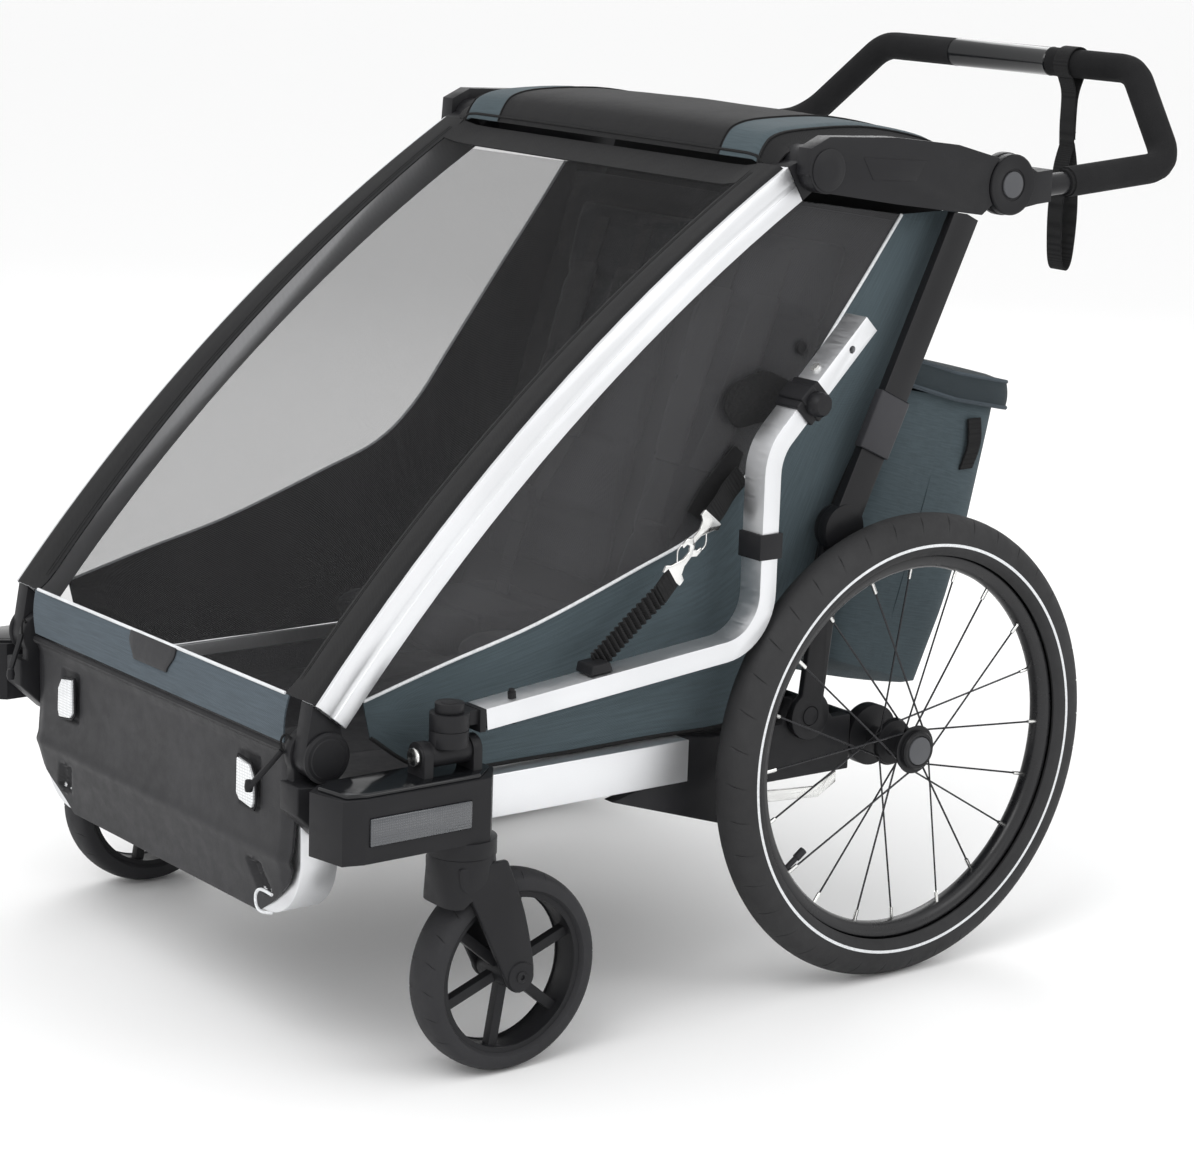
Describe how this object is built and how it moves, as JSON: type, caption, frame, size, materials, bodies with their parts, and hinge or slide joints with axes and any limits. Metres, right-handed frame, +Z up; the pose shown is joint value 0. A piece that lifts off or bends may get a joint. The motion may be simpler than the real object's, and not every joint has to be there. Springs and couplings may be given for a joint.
{
  "type": "child bicycle trailer",
  "caption": "Folding child bicycle trailer with fabric cabin, front mesh cover, caster wheels, push handlebar, cargo bag and stowed tow arm.",
  "frame": {"origin": "on the ground, under the middle of the trailer's overall length and width", "axes": "+Z up, -Y towards the front (the mesh cover), +X to the trailer's left side, where the tow arm is"},
  "size_m": [0.758, 1.1924, 0.9565],
  "materials": {
    "alloy": "satin anodised",
    "black_frame": "black powder coat",
    "black_plastic": "satin moulded",
    "grey_plastic": "satin moulded",
    "bright_metal": "satin",
    "slate_fabric": "woven coated",
    "black_fabric": "woven",
    "window_film": "smooth film",
    "mesh": "fine mesh",
    "padding": "padded",
    "webbing": "woven webbing",
    "tyre": "matte rubber",
    "rim": "black anodised",
    "foam": "foam",
    "reflector": "prismatic",
    "grey_reflector": "prismatic",
    "rubber_tyre": "matte rubber"
  },
  "bodies": {
    "chassis": {"lower_rails": "alloy", "rear_rail_arms": "black_plastic", "axle_beam": "black_frame", "brake_linkage": "bright_metal", "floor_pan": "padding", "seat_base": "padding", "seat_back": "padding", "harness": "webbing", "side_panels": "slate_fabric", "side_windows": "window_film", "rear_cover": "slate_fabric", "cargo_bag": "slate_fabric", "front_hoop": "alloy", "joint_housings": "black_plastic", "front_panel": "black_plastic", "front_reflectors": "reflector", "side_reflectors": "grey_reflector", "caster_housing_left": "black_plastic", "caster_housing_right": "black_plastic", "hitch_bolt": "bright_metal", "pull_tabs": "black_plastic", "body_strap": "webbing", "upper_hook": "bright_metal"},
    "front_frame": {"front_tubes": "alloy", "tube_collars": "black_plastic", "front_cover": "mesh", "front_band": "slate_fabric"},
    "upper_frame": {"side_brackets": "black_plastic", "roof_bows": "black_frame", "roof_cover": "black_fabric", "rear_tubes": "black_frame"},
    "fold_lock": {"fold_grips": "grey_plastic"},
    "struts": {"lower_struts": "black_frame"},
    "handlebar": {"handlebar_tube": "black_frame", "handlebar_grips": "foam", "centre_sleeve": "grey_plastic", "handlebar_hubs": "black_plastic", "wrist_strap": "webbing"},
    "handlebar_button_left": {"release_button_left": "grey_plastic"},
    "handlebar_button_right": {"release_button_right": "grey_plastic"},
    "knuckle": {"hitch_knuckle": "black_plastic"},
    "tow_arm": {"tow_arm_tube": "alloy", "arm_fittings": "black_plastic", "arm_strap": "webbing", "lower_hook": "bright_metal"},
    "wheel_left": {"rear_tyre_left": "tyre", "rear_rim_left": "rim", "rear_hub_left": "black_plastic"},
    "wheel_right": {"rear_tyre_right": "tyre", "rear_rim_right": "rim", "rear_hub_right": "black_plastic"},
    "wheel_button_left": {"axle_button_left": "grey_plastic"},
    "wheel_button_right": {"axle_button_right": "grey_plastic"},
    "fork_left": {"caster_fork_left": "black_plastic"},
    "fork_right": {"caster_fork_right": "black_plastic"},
    "caster_left": {"caster_wheel_left": "black_plastic", "caster_tyre_left": "rubber_tyre"},
    "caster_right": {"caster_wheel_right": "black_plastic", "caster_tyre_right": "rubber_tyre"},
    "pedal": {"brake_pedal": "black_plastic"}
  },
  "joints": [
    {"name": "wheel_spin_left", "type": "hinge", "parent": "chassis", "child": "wheel_left", "pos_m": [0.3475, 0.14775, 0.25], "axis": [1, 0, 0], "continuous": true},
    {"name": "wheel_spin_right", "type": "hinge", "parent": "chassis", "child": "wheel_right", "pos_m": [-0.3475, 0.14775, 0.25], "axis": [1, 0, 0], "continuous": true},
    {"name": "axle_release_left", "type": "slide", "parent": "wheel_left", "child": "wheel_button_left", "axis": [-1, 0, 0], "range_m": [0, 0.003], "stiffness_N_per_m": 600},
    {"name": "axle_release_right", "type": "slide", "parent": "wheel_right", "child": "wheel_button_right", "axis": [1, 0, 0], "range_m": [0, 0.003], "stiffness_N_per_m": 600},
    {"name": "caster_swivel_left", "type": "hinge", "parent": "chassis", "child": "fork_left", "pos_m": [0.345, -0.41925, 0.22], "axis": [0, 0, 1], "continuous": true},
    {"name": "caster_spin_left", "type": "hinge", "parent": "fork_left", "child": "caster_left", "pos_m": [0.345, -0.36725, 0.1005], "axis": [1, 0, 0], "continuous": true},
    {"name": "caster_swivel_right", "type": "hinge", "parent": "chassis", "child": "fork_right", "pos_m": [-0.345, -0.41925, 0.22], "axis": [0, 0, 1], "continuous": true},
    {"name": "caster_spin_right", "type": "hinge", "parent": "fork_right", "child": "caster_right", "pos_m": [-0.345, -0.36725, 0.1005], "axis": [1, 0, 0], "continuous": true},
    {"name": "frame_fold", "type": "hinge", "parent": "chassis", "child": "front_frame", "pos_m": [0, -0.54025, 0.325], "axis": [-1, 0, 0], "range_deg": [0, 32], "deforming": ["side_panels", "side_windows", "rear_cover", "seat_back", "harness", "cargo_bag", "body_strap", "upper_hook"]},
    {"name": "roof_fold", "type": "hinge", "parent": "front_frame", "child": "upper_frame", "pos_m": [0, 0.02775, 0.857], "axis": [-1, 0, 0], "range_deg": [0, 48.3]},
    {"name": "strut_fold", "type": "hinge", "parent": "chassis", "child": "struts", "pos_m": [0, 0.04875, 0.287], "axis": [1, 0, 0], "range_deg": [0, 73]},
    {"name": "fold_lock_slide", "type": "slide", "parent": "upper_frame", "child": "fold_lock", "axis": [0, 0.4278, 0.9039], "range_m": [0, 0.012], "stiffness_N_per_m": 400},
    {"name": "handlebar_tilt", "type": "hinge", "parent": "upper_frame", "child": "handlebar", "pos_m": [0, 0.28575, 0.833], "axis": [1, 0, 0], "range_deg": [-40, 95]},
    {"name": "handlebar_release_left", "type": "slide", "parent": "handlebar", "child": "handlebar_button_left", "axis": [-1, 0, 0], "range_m": [0, 0.003], "stiffness_N_per_m": 600},
    {"name": "handlebar_release_right", "type": "slide", "parent": "handlebar", "child": "handlebar_button_right", "axis": [1, 0, 0], "range_m": [0, 0.003], "stiffness_N_per_m": 600},
    {"name": "hitch_roll", "type": "hinge", "parent": "chassis", "child": "knuckle", "pos_m": [0.345, -0.44025, 0.32917], "axis": [0, -1, 0], "range_deg": [0, 90]},
    {"name": "hitch_swing", "type": "hinge", "parent": "knuckle", "child": "tow_arm", "pos_m": [0.35, -0.44025, 0.35717], "axis": [0, 0, -1], "range_deg": [0, 180]},
    {"name": "brake_pedal_tilt", "type": "hinge", "parent": "chassis", "child": "pedal", "pos_m": [0, 0.18175, 0.216], "axis": [-1, 0, 0], "range_deg": [0, 20]}
  ],
  "couplings": [
    {"joint": "roof_fold", "follows": "frame_fold", "ratio": 1.5024},
    {"joint": "strut_fold", "follows": "frame_fold", "ratio": 2.2742},
    {"joint": "hitch_roll", "follows": "hitch_swing", "ratio": 0.5}
  ]
}
